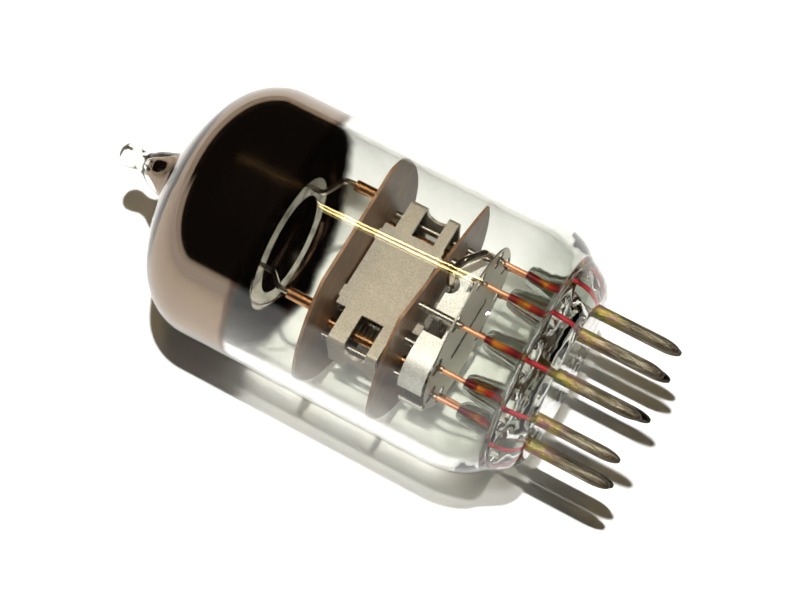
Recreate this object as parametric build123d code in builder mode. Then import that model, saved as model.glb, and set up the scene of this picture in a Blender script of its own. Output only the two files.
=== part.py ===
"""Miniature nine-pin vacuum tube, lying on its side.

The axis of the tube is X: the pins point along +X, the exhaust tip points along -X and +Z is up.
The origin is the centre of the seating plane, the flat underside of the glass stem.
All dimensions are in millimetres.
"""
import os
from math import cos, radians, sin

from build123d import *

# ------------------------------------------------------------------ glass envelope
BULB_R = 10.65  # outside radius of the straight part of the bulb
WALL = 0.95  # thickness of the bulb glass
SEAL_X = -2.6  # plane where the bulb is fused to the stem
SEAL_R = 9.35  # outside radius at that plane
HEEL_X = -6.8  # where the bulb reaches its full diameter
SHOULDER_X = -28.0  # where the dome starts
SHOULDER_R = 5.0  # outside radius of the shoulder arc
SHOULDER_TURN = 60.0  # degrees turned by the shoulder arc
CROWN_R = 19.3  # outside radius of the flatter crown arc
CROWN_TURN = 18.0  # degrees turned by the crown arc
TIP_END_X = -39.9  # end of the exhaust bead, which sets the seated height
BORE_R = SEAL_R - WALL  # inside radius at the seal
INNER_R = BULB_R - WALL

# ------------------------------------------------------------------ stem, pins and seals
PIN_CIRCLE_R = 11.89 / 2
PIN_R = 1.016 / 2
PIN_LENGTH = 6.8  # from the seating plane to the pin end
PIN_NOSE = 1.5  # length of the rounded nose
PIN_END_R = 0.07  # radius of the small flat left at the end of the nose
PIN_ROOT = 1.3  # depth of the pin in the glass
PIN_ROOT_R = 0.3  # radius of the pin where it is sealed in the glass
PITCH = 36.0  # angle between neighbouring pin positions, one of ten left empty
GAP_ANGLE = 255.5  # the empty position, counted from +Y towards +Z
PIN_COUNT = 9
STEM_FLAT_R = 6.9  # radius of the flat underside
BOSS_R = 1.35
BOSS_TAPER = 9.0  # degrees, so the boss narrows towards its end
BOSS_X = -6.0  # inner end of the glass bosses
SEAL_WIRE_R = 0.19
SEAL_WIRE_X = -8.0  # inner end of the seal wires

# ------------------------------------------------------------------ micas
MICA_R = 9.6
MICA_T = 0.25
BOTTOM_MICA_X = -11.75  # tip side of the bottom mica
TOP_MICA_X = -18.15  # tip side of the top mica
BOTTOM_FLAT = 5.6  # distance of the cut chord from the axis
BOTTOM_FLAT_ANGLE = 66.0
TOP_FLAT = 8.2
TOP_FLAT_ANGLE = 90.0
HOLE_GAP = 0.04  # clearance of a rod in its mica hole
MICA_SLITS = ((5.34, 1.96), (0.24, 2.14))  # Y and Z of two spare slits in the bottom mica
SLIT_W, SLIT_H = 0.12, 0.7

# ------------------------------------------------------------------ anode box
ANODE_W = 6.7  # half width across Y
ANODE_H = 2.34  # half depth across Z
SHEET = 0.28  # anode sheet thickness
CENTRE_W = 3.8  # half width of the full-height middle of the plate
ANODE_X0, ANODE_X1 = -17.75, -12.6  # ends of the middle
PRONG_X0, PRONG_X1 = -16.9, -12.7  # outer edges of the forked ends
WINDOW_X0, WINDOW_X1 = -15.5, -13.6
WINDOW_Z = 0.65  # how far down the side wall the window reaches
TAB_Y, TAB_W, TAB_OUT = 2.7, 1.0, 0.55
ANODE_ROD_Y, ANODE_ROD_R = 5.85, 0.3

# ------------------------------------------------------------------ grid and cathode
GRID_ROD_Y, GRID_ROD_R = 4.7, 0.42
GRID_WIRE = 0.07
GRID_TURNS = 15
CATHODE_W, CATHODE_H = 3.4, 0.3  # half width and half thickness of the sleeve
CATHODE_WALL = 0.07
COATING_T = 0.05
COATING_W = 3.0
HEATER_R = 0.11
HEATER_LEGS, HEATER_STEP = 6, 0.9  # straight runs of the folded heater, and their spacing
HEATER_X0, HEATER_X1 = -18.2, -11.3  # where the heater turns back
HEATER_END_X = -9.6  # end of the heater tail on the side of pin 4
ROD_X0, ROD_X1 = -18.9, -10.8  # ends of the rods that cross both micas

# ------------------------------------------------------------------ lower shield
SHIELD_X0, SHIELD_X1 = -10.6, -8.6
SHIELD_Z = 3.7
SHIELD_Y0, SHIELD_Y1 = -6.8, 3.9
SHIELD_LIP_Z = 1.3  # where the turned-down side of each half ends
SHIELD_T = 0.2
SHIELD_BEND = 2.0
LOOP_NOTCH_Y, LOOP_NOTCH_R = 1.0, 0.75  # round notch for the anode connection
DROP_SLOT_Y, DROP_SLOT_L, DROP_SLOT_W = -2.6, 1.6, 1.2  # slot for one heater tail
LEAD_SLOT_L, LEAD_SLOT_W = 1.4, 0.9  # notch at the lead of pin 5
DISC_X, DISC_R, DISC_T = -8.45, 6.9, 0.12
DISC_HOLE_R = 0.75  # clearance round each lead
POST_R = 0.35
POST_YS = (3.0, -4.2)
DISC_WINDOW_Y, DISC_WINDOW_Z = 5.6, 0.8  # opening for the cathode and heater leads

# ------------------------------------------------------------------ connections to the pins
STRAP_R = 0.15
HEATER_STRAP_R = 0.3
STRAP_5_X = -9.0
ANODE_LOOP_R, ANODE_LOOP_BEND = 0.3, 0.45
ANODE_LOOP_DISC_X = -8.75  # the loop passes straight through the disc up to here
ANODE_LOOP_ROUTE = [(-9.2, 3.7, 5.7), (-10.1, 2.3, 6.2), (-10.75, 1.3, 5.4), (-10.55, LOOP_NOTCH_Y, 3.9)]
ANODE_LOOP_END_X = -10.75
CATHODE_STRAP_R, CATHODE_STRAP_X = 0.12, -9.5
CATHODE_STRAP_ROUTE = [(-10.4, -4.0, 1.2), (-11.0, 0.1 - CATHODE_W, CATHODE_H + 0.12)]
GRID_STRAP_2_X, GRID_STRAP_2_BEND_X = -9.0, -10.1
GRID_STRAP_9_R, GRID_STRAP_9_X = 0.13, -8.9
GRID_STRAP_9_ROUTE = [(-9.5, 4.9, -4.4), (-9.9, 4.9, -1.2), (-10.2, GRID_ROD_Y, 0)]
ANODE_STRAP_X, ANODE_STRAP_BEND_X = -9.0, -10.0
SHIELD_STRAP_R = 0.17

# ------------------------------------------------------------------ getter
SLEEVE_R, SLEEVE_X = 0.45, -20.7
SLEEVE_Z = 4.5
SLEEVE_YS = (4.5, -5.6)
GETTER_WIRE_R = 0.22
SLEEVE_FLANGE_R, SLEEVE_FLANGE_T = 0.85, 0.12
SLEEVE_BORE = 1.2  # depth of the wire in its sleeve
GETTER_X = -23.9  # plane of the getter ring
GETTER_R = 5.0  # mean radius of the ring
GETTER_BORE, GETTER_DEPTH, GETTER_SHEET = 1.2, 0.9, 0.15
FILM_X = -22.5  # free edge of the getter film
FILM_T = 0.04

os.makedirs("parts", exist_ok=True)


def save(part, name):
    """Label a finished piece and write it as its own STEP file."""
    part.label = name
    export_step(part, f"parts/{name}.step")


def polar(radius, angle):
    """Y and Z of a point at a radius and an angle, counted from +Y towards +Z."""
    return radius * cos(radians(angle)), radius * sin(radians(angle))


def pin_angle(number):
    """Angle of a pin, numbered clockwise from the empty position as seen from the pin side."""
    return GAP_ANGLE - PITCH * number


def dome(inset):
    """Shoulder and crown arcs of the bulb at a depth below its outer skin."""
    shoulder = JernArc(
        start=(SHOULDER_X, BULB_R - inset), tangent=(-1, 0), radius=SHOULDER_R - inset, arc_size=SHOULDER_TURN
    )
    crown = JernArc(start=shoulder @ 1, tangent=shoulder % 1, radius=CROWN_R - inset, arc_size=CROWN_TURN)
    return shoulder, crown


def heel(radius_at_seal, radius):
    """Rounded heel between the seal plane and the full diameter."""
    return ThreePointArc(
        (SEAL_X, radius_at_seal),
        ((SEAL_X + HEEL_X) / 2, (radius_at_seal + radius) / 2 + 0.22),
        (HEEL_X, radius),
    )


def wire(points, radius, bend=None):
    """Round wire along straight runs joined by arcs, as a free part."""
    with BuildPart() as one:
        with BuildLine():
            path = FilletPolyline(*points, radius=bend or 3 * radius) if len(points) > 2 else Line(*points)
        with BuildSketch(Plane(origin=path @ 0, z_dir=path % 0)):
            Circle(radius)
        sweep(path=path)
    return one.part


# ------------------------------------------------------------------ glass
with BuildPart() as glass_bulb:
    with BuildSketch():
        with BuildLine():
            outer_heel = heel(SEAL_R, BULB_R)
            Line(outer_heel @ 1, (SHOULDER_X, BULB_R))
            _, outer_crown = dome(0)
            _, inner_crown = dome(WALL)
            Line(outer_crown @ 1, inner_crown @ 1)
            Line((SHOULDER_X, INNER_R), (HEEL_X, INNER_R))
            heel(BORE_R, INNER_R)
            Line((SEAL_X, BORE_R), (SEAL_X, SEAL_R))
        make_face()
    revolve(axis=Axis.X)
save(glass_bulb.part, "glass_bulb")

neck_outer = outer_crown @ 1
neck_inner = inner_crown @ 1

with BuildPart() as exhaust_tip:
    with BuildSketch():
        with BuildLine():
            skirt = Spline(
                neck_outer, (-35.6, 2.05), (-36.9, 1.35), (-37.75, 0.82), (-38.25, 0.88), (-39.1, 0.98),
                (TIP_END_X, 0), tangents=[(-0.6, -0.8), (0, -1)],
            )
            Line(skirt @ 1, (-37.4, 0))
            bore = Spline((-37.4, 0), (-36.6, 0.42), (-34.6, 1.3), tangents=[(0, 1), (0.75, 0.66)])
            Line(bore @ 1, neck_inner)
            Line(neck_inner, neck_outer)
        make_face()
    revolve(axis=Axis.X)
save(exhaust_tip.part, "exhaust_tip")

pin_places = [polar(PIN_CIRCLE_R, pin_angle(number)) for number in range(1, PIN_COUNT + 1)]

with BuildPart() as glass_stem:
    with BuildSketch():
        with BuildLine():
            Line((0, 0), (0, STEM_FLAT_R))
            ThreePointArc((0, STEM_FLAT_R), (-0.8, 8.62), (SEAL_X, SEAL_R))
            Line((SEAL_X, SEAL_R), (SEAL_X, 0))
            Line((SEAL_X, 0), (0, 0))
        make_face()
    revolve(axis=Axis.X)
    with BuildSketch(Plane.YZ.offset(SEAL_X)):
        with Locations(*pin_places):
            Circle(BOSS_R)
    extrude(amount=BOSS_X - SEAL_X, taper=-BOSS_TAPER)
    with BuildSketch(Plane.YZ):
        with Locations(*pin_places):
            Circle(PIN_ROOT_R)
    extrude(amount=-PIN_ROOT, mode=Mode.SUBTRACT)
    with BuildSketch(Plane.YZ.offset(-PIN_ROOT)):
        with Locations(*pin_places):
            Circle(SEAL_WIRE_R)
    extrude(amount=BOSS_X + PIN_ROOT, mode=Mode.SUBTRACT)
save(glass_stem.part, "glass_stem")

# ------------------------------------------------------------------ pins and seal wires
for number, (pin_y, pin_z) in enumerate(pin_places, start=1):
    with BuildPart() as pin:
        with BuildSketch(Plane((0, pin_y, pin_z))):
            with BuildLine():
                Polyline(
                    (-PIN_ROOT, 0), (-PIN_ROOT, PIN_ROOT_R), (0, PIN_ROOT_R), (0, PIN_R),
                    (PIN_LENGTH - PIN_NOSE, PIN_R),
                )
                Bezier(
                    (PIN_LENGTH - PIN_NOSE, PIN_R), (PIN_LENGTH - 0.5 * PIN_NOSE, PIN_R),
                    (PIN_LENGTH, 0.6 * PIN_R), (PIN_LENGTH, PIN_END_R),
                )
                Polyline((PIN_LENGTH, PIN_END_R), (PIN_LENGTH, 0), (-PIN_ROOT, 0))
            make_face()
        revolve(axis=Axis((0, pin_y, pin_z), (1, 0, 0)))
    save(pin.part, f"pin_{number}")
    with BuildPart() as seal_wire:
        with BuildSketch(Plane.YZ.offset(-PIN_ROOT)):
            with Locations((pin_y, pin_z)):
                Circle(SEAL_WIRE_R)
        extrude(amount=SEAL_WIRE_X + PIN_ROOT)
    save(seal_wire.part, f"seal_wire_{number}")

# ------------------------------------------------------------------ getter film
with BuildPart() as getter_film:
    with BuildSketch():
        with BuildLine():
            _, film_outer = dome(WALL)
            _, film_inner = dome(WALL + FILM_T)
            Line(film_outer @ 1, film_inner @ 1)
            Line((SHOULDER_X, INNER_R), (FILM_X, INNER_R))
            Line((FILM_X, INNER_R), (FILM_X, INNER_R - FILM_T))
            Line((FILM_X, INNER_R - FILM_T), (SHOULDER_X, INNER_R - FILM_T))
        make_face()
    revolve(axis=Axis.X)
save(getter_film.part, "getter_film")

# ------------------------------------------------------------------ micas
rod_holes = [(GRID_ROD_Y, GRID_ROD_R), (-GRID_ROD_Y, GRID_ROD_R), (ANODE_ROD_Y, ANODE_ROD_R),
             (-ANODE_ROD_Y, ANODE_ROD_R)]
straps_through_mica = [(*polar(PIN_CIRCLE_R - 0.05, pin_angle(4)), HEATER_STRAP_R)]


def mica_outline(flat, flat_angle):
    """Round sheet with one chord cut off, and the holes for the electrodes."""
    Circle(MICA_R)
    cut_u, cut_v = polar(flat + MICA_R, flat_angle)
    with Locations(Location((cut_u, cut_v, 0), (0, 0, flat_angle))):
        Rectangle(2 * MICA_R, 3 * MICA_R, mode=Mode.SUBTRACT)
    for hole_y, hole_r in rod_holes:
        with Locations((hole_y, 0)):
            Circle(hole_r + HOLE_GAP, mode=Mode.SUBTRACT)
    Rectangle(2 * (CATHODE_W + HOLE_GAP), 2 * (CATHODE_H + HOLE_GAP), mode=Mode.SUBTRACT)
    tab_v = ANODE_H - SHEET / 2
    with Locations((TAB_Y, tab_v), (-TAB_Y, tab_v), (TAB_Y, -tab_v), (-TAB_Y, -tab_v)):
        Rectangle(TAB_W + 2 * HOLE_GAP, SHEET + 2 * HOLE_GAP, mode=Mode.SUBTRACT)


with BuildPart() as top_mica:
    with BuildSketch(Plane.YZ.offset(TOP_MICA_X)):
        mica_outline(TOP_FLAT, TOP_FLAT_ANGLE)
    extrude(amount=MICA_T)
save(top_mica.part, "top_mica")

with BuildPart() as bottom_mica:
    with BuildSketch(Plane.YZ.offset(BOTTOM_MICA_X)):
        mica_outline(BOTTOM_FLAT, BOTTOM_FLAT_ANGLE)
        for hole_y, hole_z, hole_r in straps_through_mica:
            with Locations((hole_y, hole_z)):
                Circle(hole_r + HOLE_GAP, mode=Mode.SUBTRACT)
        with Locations(*MICA_SLITS):
            Rectangle(SLIT_W, SLIT_H, mode=Mode.SUBTRACT)
    extrude(amount=MICA_T)
save(bottom_mica.part, "bottom_mica")

# ------------------------------------------------------------------ anode, two folded halves
window_mid = (WINDOW_X0 + WINDOW_X1) / 2
window_r = (WINDOW_X1 - WINDOW_X0) / 2
prong_mid, prong_span = (PRONG_X0 + PRONG_X1) / 2, PRONG_X1 - PRONG_X0
centre_mid, centre_span = (ANODE_X0 + ANODE_X1) / 2, ANODE_X1 - ANODE_X0

with BuildPart() as anode_front:
    with BuildSketch(Plane.YZ.offset(PRONG_X0)):
        with BuildLine():
            Line((-ANODE_W, 0), (-ANODE_W, ANODE_H))
            Line((-ANODE_W, ANODE_H), (ANODE_W, ANODE_H))
            Line((ANODE_W, ANODE_H), (ANODE_W, 0))
            Line((ANODE_W, 0), (ANODE_W - SHEET, 0))
            Line((ANODE_W - SHEET, 0), (ANODE_W - SHEET, ANODE_H - SHEET))
            Line((ANODE_W - SHEET, ANODE_H - SHEET), (SHEET - ANODE_W, ANODE_H - SHEET))
            Line((SHEET - ANODE_W, ANODE_H - SHEET), (SHEET - ANODE_W, 0))
            Line((SHEET - ANODE_W, 0), (-ANODE_W, 0))
        make_face()
    extrude(amount=prong_span)
    bends = anode_front.edges().filter_by(Axis.X).group_by(Axis.Z)
    fillet(bends[-1], radius=1.6 * SHEET)
    fillet(anode_front.edges().filter_by(Axis.X).filter_by_position(Axis.Z, 1.9, 2.15), radius=0.6 * SHEET)
    with BuildSketch(Plane.XY.offset(ANODE_H)):
        with Locations((centre_mid, 0)):
            Rectangle(centre_span, 2 * CENTRE_W)
        for end_x, reach in ((ANODE_X0, TOP_MICA_X - TAB_OUT), (ANODE_X1, BOTTOM_MICA_X + MICA_T + TAB_OUT)):
            with Locations(((end_x + reach) / 2, TAB_Y), ((end_x + reach) / 2, -TAB_Y)):
                Rectangle(abs(reach - end_x), TAB_W)
    extrude(amount=-SHEET)
    with BuildSketch(Plane.XY.offset(ANODE_H)):
        for side in (1, -1):
            with Locations((window_mid, side * (CENTRE_W + ANODE_W + 1) / 2)):
                Rectangle(2 * window_r, ANODE_W + 1 - CENTRE_W)
    extrude(amount=-(ANODE_H - WINDOW_Z - window_r), mode=Mode.SUBTRACT)
    for side in (1, -1):
        with BuildSketch(Plane.XZ.offset(side * CENTRE_W)):
            with Locations((window_mid, WINDOW_Z + window_r)):
                Circle(window_r)
        extrude(amount=side * (ANODE_W + 1 - CENTRE_W), mode=Mode.SUBTRACT)
save(anode_front.part, "anode_front")

with BuildPart() as anode_back:
    add(anode_front.part)
    mirror(about=Plane.XY, mode=Mode.REPLACE)
save(anode_back.part, "anode_back")

# ------------------------------------------------------------------ rods that cross both micas
for name, rod_y, rod_r in (
    ("anode_rod_left", -ANODE_ROD_Y, ANODE_ROD_R),
    ("anode_rod_right", ANODE_ROD_Y, ANODE_ROD_R),
    ("grid_rod_left", -GRID_ROD_Y, GRID_ROD_R),
    ("grid_rod_right", GRID_ROD_Y, GRID_ROD_R),
):
    with BuildPart() as rod:
        with BuildSketch(Plane.YZ.offset(ROD_X0)):
            with Locations((rod_y, 0)):
                Circle(rod_r)
        extrude(amount=ROD_X1 - ROD_X0)
        fillet(rod.edges().filter_by(GeomType.CIRCLE), radius=0.3 * rod_r)
    save(rod.part, name)

# ------------------------------------------------------------------ grid winding
grid_from, grid_to = TOP_MICA_X + MICA_T + 0.45, BOTTOM_MICA_X - 0.45
grid_pitch = (grid_to - grid_from) / (GRID_TURNS - 1)
with BuildPart() as grid_winding:
    for turn in range(GRID_TURNS):
        with BuildSketch(Plane.YZ.offset(grid_from + turn * grid_pitch)):
            SlotCenterToCenter(2 * GRID_ROD_Y, 2 * (GRID_ROD_R + GRID_WIRE))
            SlotCenterToCenter(2 * GRID_ROD_Y, 2 * GRID_ROD_R, mode=Mode.SUBTRACT)
        extrude(amount=GRID_WIRE)
save(grid_winding.part, "grid_winding")

# ------------------------------------------------------------------ cathode and heater
with BuildPart() as cathode_sleeve:
    with BuildSketch(Plane.YZ.offset(ROD_X0 + 0.3)):
        Rectangle(2 * CATHODE_W, 2 * CATHODE_H)
        Rectangle(2 * (CATHODE_W - CATHODE_WALL), 2 * (CATHODE_H - CATHODE_WALL), mode=Mode.SUBTRACT)
    extrude(amount=ROD_X1 - ROD_X0 - 0.5)
save(cathode_sleeve.part, "cathode_sleeve")

with BuildPart() as cathode_coating:
    for face_z in (CATHODE_H, -CATHODE_H - COATING_T):
        with BuildSketch(Plane.XY.offset(face_z)):
            with Locations(((grid_from + grid_to) / 2, 0)):
                Rectangle(grid_to - grid_from, 2 * COATING_W)
        extrude(amount=COATING_T)
save(cathode_coating.part, "cathode_coating")

heater_y0 = -HEATER_STEP * (HEATER_LEGS - 1) / 2
heater_points = [(HEATER_END_X, heater_y0, 0)]
for leg in range(HEATER_LEGS):
    leg_y = heater_y0 + leg * HEATER_STEP
    ends = (HEATER_X1, HEATER_X0) if leg % 2 == 0 else (HEATER_X0, HEATER_X1)
    if leg > 0:
        heater_points.append((ends[0], leg_y, 0))
    if leg < HEATER_LEGS - 1:
        heater_points.append((ends[1], leg_y, 0))
heater_points.append((STRAP_5_X, -heater_y0, 0))
save(wire(heater_points, HEATER_R), "heater")

# ------------------------------------------------------------------ lower shield
with BuildPart() as shield_half:
    with BuildSketch(Plane.YZ.offset(SHIELD_X0)):
        with BuildLine() as band_line:
            FilletPolyline(
                (SHIELD_Y1, SHIELD_Z), (SHIELD_Y0, SHIELD_Z), (SHIELD_Y0, SHIELD_LIP_Z), radius=SHIELD_BEND
            )
            offset(amount=SHIELD_T, side=Side.RIGHT)
        make_face()
    extrude(amount=SHIELD_X1 - SHIELD_X0)
    with BuildSketch(Plane.XY.offset(SHIELD_Z + 1)):
        with Locations((SHIELD_X0, LOOP_NOTCH_Y)):
            Circle(LOOP_NOTCH_R)
        with Locations((SHIELD_X0 + DROP_SLOT_L / 2, DROP_SLOT_Y)):
            Rectangle(DROP_SLOT_L, DROP_SLOT_W)
        with Locations((SHIELD_X1, polar(PIN_CIRCLE_R, pin_angle(5))[0])):
            Rectangle(LEAD_SLOT_L, LEAD_SLOT_W)
    extrude(amount=-2, mode=Mode.SUBTRACT)

with BuildPart() as shield_band:
    add(shield_half.part)
    mirror(about=Plane.XY)
save(shield_band.part, "shield_band")

with BuildPart() as shield_disc:
    with BuildSketch(Plane.YZ.offset(DISC_X)):
        Circle(DISC_R)
        with Locations(*pin_places):
            Circle(DISC_HOLE_R, mode=Mode.SUBTRACT)
        Rectangle(DISC_WINDOW_Y, DISC_WINDOW_Z, mode=Mode.SUBTRACT)
    extrude(amount=DISC_T)
save(shield_disc.part, "shield_disc")

# ------------------------------------------------------------------ getter
getter_y = sum(SLEEVE_YS) / 2
for name, sleeve_y in zip(("getter_sleeve_upper", "getter_sleeve_lower"), SLEEVE_YS):
    with BuildPart() as sleeve:
        with BuildSketch(Plane.YZ.offset(TOP_MICA_X)):
            with Locations((sleeve_y, SLEEVE_Z)):
                Circle(SLEEVE_R)
        extrude(amount=SLEEVE_X - TOP_MICA_X)
        with BuildSketch(Plane.YZ.offset(TOP_MICA_X)):
            with Locations((sleeve_y, SLEEVE_Z)):
                Circle(SLEEVE_FLANGE_R)
        extrude(amount=-SLEEVE_FLANGE_T)
        with BuildSketch(Plane.YZ.offset(SLEEVE_X)):
            with Locations((sleeve_y, SLEEVE_Z)):
                Circle(GETTER_WIRE_R)
        extrude(amount=SLEEVE_BORE, mode=Mode.SUBTRACT)
    save(sleeve.part, name)

ring_half = GETTER_BORE / 2 + GETTER_SHEET
with BuildPart() as getter_ring:
    with BuildSketch():
        with BuildLine():
            Polyline(
                (GETTER_X - GETTER_DEPTH, GETTER_R - ring_half), (GETTER_X, GETTER_R - ring_half),
                (GETTER_X, GETTER_R + ring_half), (GETTER_X - GETTER_DEPTH, GETTER_R + ring_half),
                (GETTER_X - GETTER_DEPTH, GETTER_R + ring_half - GETTER_SHEET),
                (GETTER_X - GETTER_SHEET, GETTER_R + ring_half - GETTER_SHEET),
                (GETTER_X - GETTER_SHEET, GETTER_R - ring_half + GETTER_SHEET),
                (GETTER_X - GETTER_DEPTH, GETTER_R - ring_half + GETTER_SHEET),
                close=True,
            )
        make_face()
    revolve(axis=Axis.X)
save(getter_ring.part.moved(Location((0, getter_y, 0))), "getter_ring")

with BuildPart() as getter_charge:
    with BuildSketch():
        with Locations((GETTER_X - GETTER_SHEET - 0.15, GETTER_R)):
            Rectangle(0.3, GETTER_BORE)
    revolve(axis=Axis.X)
save(getter_charge.part.moved(Location((0, getter_y, 0))), "getter_charge")

for name, sleeve_y in zip(("getter_arm_upper", "getter_arm_lower"), SLEEVE_YS):
    reach = Vector(sleeve_y - getter_y, SLEEVE_Z).normalized() * GETTER_R
    ring_y, ring_z = getter_y + reach.X, reach.Y
    arm = wire(
        [
            (SLEEVE_X + SLEEVE_BORE, sleeve_y, SLEEVE_Z),
            (SLEEVE_X - 0.9, sleeve_y, SLEEVE_Z),
            (GETTER_X + 1.0, ring_y, ring_z),
            (GETTER_X, ring_y, ring_z),
        ],
        GETTER_WIRE_R,
    )
    save(arm, name)

# ------------------------------------------------------------------ posts and connections of the stem
with BuildPart() as shield_posts:
    with BuildSketch(Plane.YZ.offset(BOTTOM_MICA_X + MICA_T)):
        post_z = SHIELD_Z - SHIELD_T - POST_R
        with Locations(*[(y, z) for y in POST_YS for z in (post_z, -post_z)]):
            Circle(POST_R)
    extrude(amount=DISC_X - BOTTOM_MICA_X - MICA_T)
save(shield_posts.part, "shield_posts")


def lead_end(number):
    """Inner end of a seal wire."""
    return (SEAL_WIRE_X, *polar(PIN_CIRCLE_R, pin_angle(number)))


def above(number, x):
    """Point straight above the inner end of a seal wire."""
    return (x, *polar(PIN_CIRCLE_R, pin_angle(number)))


heater_rod_z = above(4, 0)[2] - HEATER_STRAP_R
strap_5_y = above(5, 0)[1]
strap_5_ends = [(STRAP_5_X, strap_5_y, 0), (STRAP_5_X, -heater_y0 - HEATER_R, 0)]
anode_tab = (ANODE_LOOP_END_X, TAB_Y - TAB_W / 2, ANODE_H - SHEET / 2)
save(wire([lead_end(4), above(4, BOTTOM_MICA_X - 0.35)], HEATER_STRAP_R), "heater_strap_4")
heater_drop = wire([(HEATER_END_X, heater_y0, heater_rod_z), (HEATER_END_X, heater_y0, HEATER_R)], STRAP_R)
save(heater_drop, "heater_drop")
save(wire([lead_end(5), above(5, STRAP_5_X), *strap_5_ends], STRAP_R), "heater_strap_5")
save(
    wire(
        [lead_end(6), above(6, ANODE_LOOP_DISC_X), *ANODE_LOOP_ROUTE, anode_tab],
        ANODE_LOOP_R,
        bend=ANODE_LOOP_BEND,
    ),
    "anode_loop_6",
)
save(
    wire([lead_end(3), above(3, CATHODE_STRAP_X), *CATHODE_STRAP_ROUTE], CATHODE_STRAP_R),
    "cathode_strap_3",
)
grid_2_ends = [(GRID_STRAP_2_BEND_X, -GRID_ROD_Y, 0), (ROD_X1, -GRID_ROD_Y, 0)]
save(wire([lead_end(2), above(2, GRID_STRAP_2_X), *grid_2_ends], STRAP_R), "grid_strap_2")
grid_9_ends = [*GRID_STRAP_9_ROUTE, (ROD_X1, GRID_ROD_Y, 0)]
save(wire([lead_end(9), above(9, GRID_STRAP_9_X), *grid_9_ends], GRID_STRAP_9_R), "grid_strap_9")
anode_7_ends = [(ANODE_STRAP_BEND_X, ANODE_ROD_Y, 0), (ROD_X1, ANODE_ROD_Y, 0)]
save(wire([lead_end(7), above(7, ANODE_STRAP_X), *anode_7_ends], STRAP_R), "anode_strap_7")
save(wire([lead_end(1), above(1, SHIELD_X1)], SHIELD_STRAP_R), "shield_strap_1")
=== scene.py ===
# %% [markdown]
# # A miniature vacuum tube
# This lesson dresses a glass radio tube that lies on its side. The metal and mica parts come from the
# frame at their real size and keep their shape. The glass, which the frame holds as three turned solids,
# is modelled again here as one fused piece, because on the real tube no seam is left between them.

from math import cos, pi, radians, sin

import bmesh
import bpy
from mathutils import Matrix, Vector
from mathutils.geometry import interpolate_bezier


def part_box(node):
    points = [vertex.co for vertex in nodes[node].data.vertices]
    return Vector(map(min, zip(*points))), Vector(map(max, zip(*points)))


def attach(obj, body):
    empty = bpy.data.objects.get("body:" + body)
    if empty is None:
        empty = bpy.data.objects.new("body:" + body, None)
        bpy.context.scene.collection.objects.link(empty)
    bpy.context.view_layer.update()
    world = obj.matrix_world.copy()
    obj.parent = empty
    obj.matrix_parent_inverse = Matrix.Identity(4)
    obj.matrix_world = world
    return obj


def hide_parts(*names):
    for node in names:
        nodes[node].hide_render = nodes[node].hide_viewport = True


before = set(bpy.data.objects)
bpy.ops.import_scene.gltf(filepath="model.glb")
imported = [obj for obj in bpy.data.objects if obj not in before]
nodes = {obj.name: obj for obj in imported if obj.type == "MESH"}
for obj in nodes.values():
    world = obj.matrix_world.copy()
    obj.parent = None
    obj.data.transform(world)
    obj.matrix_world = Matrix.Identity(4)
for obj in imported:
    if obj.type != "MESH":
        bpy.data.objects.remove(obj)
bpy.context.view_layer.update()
MM = 0.001  # the frame is in metres, and every place below is in millimetres
print("frame:", len(nodes), "nodes")

# %% [markdown]
# The tube lies along X with its pins towards +X. Its sizes are read from the frame, so that each new
# piece meets the pieces that stay.

# %% Read the sizes
def low(node):
    """Lowest corner of a node in millimetres."""
    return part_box(node)[0] / MM


def high(node):
    """Highest corner of a node in millimetres."""
    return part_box(node)[1] / MM


def middle(node):
    """Centre of a node's box in millimetres."""
    return (low(node) + high(node)) / 2


PIN_COUNT = 9
BULB_R = high("glass_bulb").z
FLOOR_Z = low("glass_bulb").z
SEAL_X = high("glass_bulb").x
TIP_X = low("exhaust_tip").x
BOSS_X = low("glass_stem").x
INNER_R = high("getter_film").z
WALL = BULB_R - INNER_R
SHOULDER_X = -28.0  # where the dome starts
SHOULDER_R, SHOULDER_TURN = 5.0, radians(60)
CROWN_R, CROWN_TURN = 19.3, radians(18)
HEEL_X = -6.8  # where the straight wall starts to close in
pin_places = [middle(f"pin_{n}").yz for n in range(1, PIN_COUNT + 1)]
PIN_R = (high("pin_1").z - low("pin_1").z) / 2
print(f"bulb {2 * BULB_R:.1f} mm across, wall {WALL:.2f} mm, {PIN_COUNT} pins of {2 * PIN_R:.2f} mm")

# %% [markdown]
# ## The camera
# A long lens looks steeply down on the tube, from its right and a little from the front. The angle is kept
# as an azimuth and an elevation, and the distance as one number, because those are easy to read.

# %% Camera
VIEW_AZIMUTH, VIEW_ELEVATION = radians(29.325), radians(66.54)
VIEW_DISTANCE = 151.2  # millimetres
VIEW_AIM = Vector((-13.65, -1.37, 2.38))
LENS = 89.63

back = Vector((
    sin(VIEW_AZIMUTH) * cos(VIEW_ELEVATION),
    -cos(VIEW_AZIMUTH) * cos(VIEW_ELEVATION),
    sin(VIEW_ELEVATION),
))
camera = bpy.data.objects.new("camera", bpy.data.cameras.new("camera"))
camera.data.lens = LENS
camera.data.sensor_width = 36.0
camera.data.clip_start = 0.005
camera.location = (VIEW_AIM + back * VIEW_DISTANCE) * MM
camera.rotation_mode = "QUATERNION"
camera.rotation_quaternion = (-back).to_track_quat("-Z", "Y")
bpy.context.scene.collection.objects.link(camera)
bpy.context.scene.camera = camera
print("camera at", [round(c, 4) for c in camera.location])

# %% [markdown]
# ## Node helpers
# Materials are node trees, and writing them node by node gets long. Three small helpers keep each material
# readable: one adds a node and fills its inputs, one blends two colours, one maps a value through a ramp.

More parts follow.
